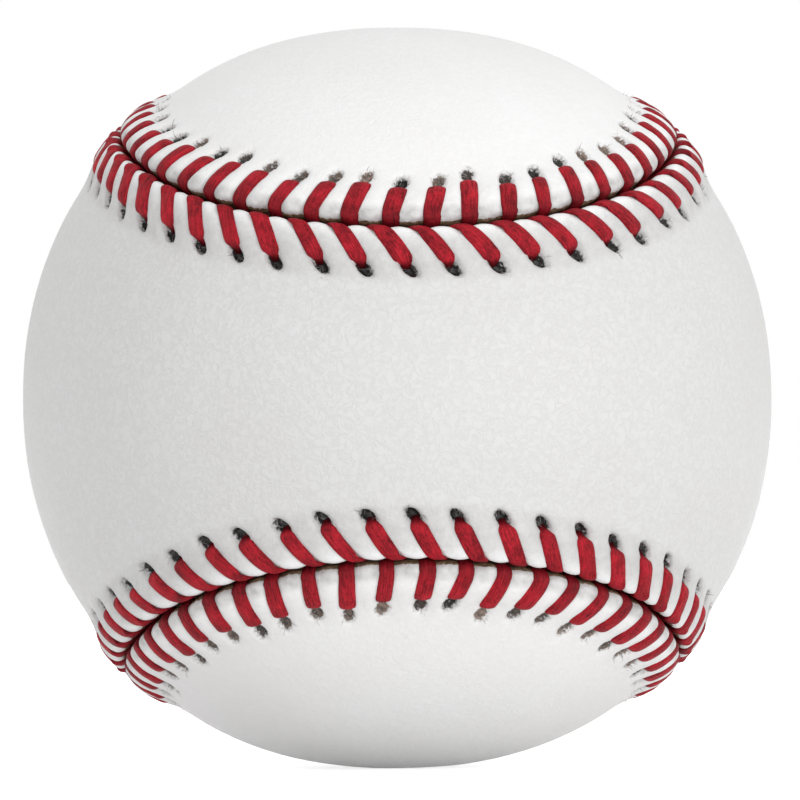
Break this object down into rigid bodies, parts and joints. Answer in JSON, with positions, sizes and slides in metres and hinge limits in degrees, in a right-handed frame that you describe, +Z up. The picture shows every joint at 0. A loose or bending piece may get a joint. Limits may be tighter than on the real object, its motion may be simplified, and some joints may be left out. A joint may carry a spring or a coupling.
{
  "type": "baseball",
  "caption": "Wound ball with a layered rubber centre, in a cover of two interlocking waisted leather panels sewn edge to edge with raised red stitches.",
  "frame": {"origin": "centre of the ball", "axes": "-Y out through the waist of the front panel, +Z up through the middle of the back panel's upper lobe, X through the front panel's lobes"},
  "size_m": [0.0738, 0.0736, 0.0736],
  "materials": {
    "cork_rubber": "matte cork and rubber composition",
    "black_rubber": "matte",
    "red_rubber": "matte",
    "grey_wool": "fuzzy wool yarn",
    "white_wool": "fuzzy wool yarn",
    "white_cotton": "fine cotton and polyester yarn",
    "rubber_cement": "tacky thin film",
    "white_leather": "smooth, alum tanned, low sheen",
    "red_thread": "waxed multi-filament"
  },
  "bodies": {
    "root": {"cork_core": "cork_rubber", "inner_rubber_upper_half": "black_rubber", "inner_rubber_lower_half": "black_rubber", "rubber_gasket_ring": "red_rubber", "outer_rubber_layer": "red_rubber", "first_wool_winding": "grey_wool", "second_wool_winding": "white_wool", "third_wool_winding": "grey_wool", "finish_cotton_winding": "white_cotton", "rubber_cement_coat": "rubber_cement", "front_leather_panel": "white_leather", "back_leather_panel": "white_leather", "first_stitch_thread": "red_thread", "second_stitch_thread": "red_thread"}
  },
  "joints": []
}
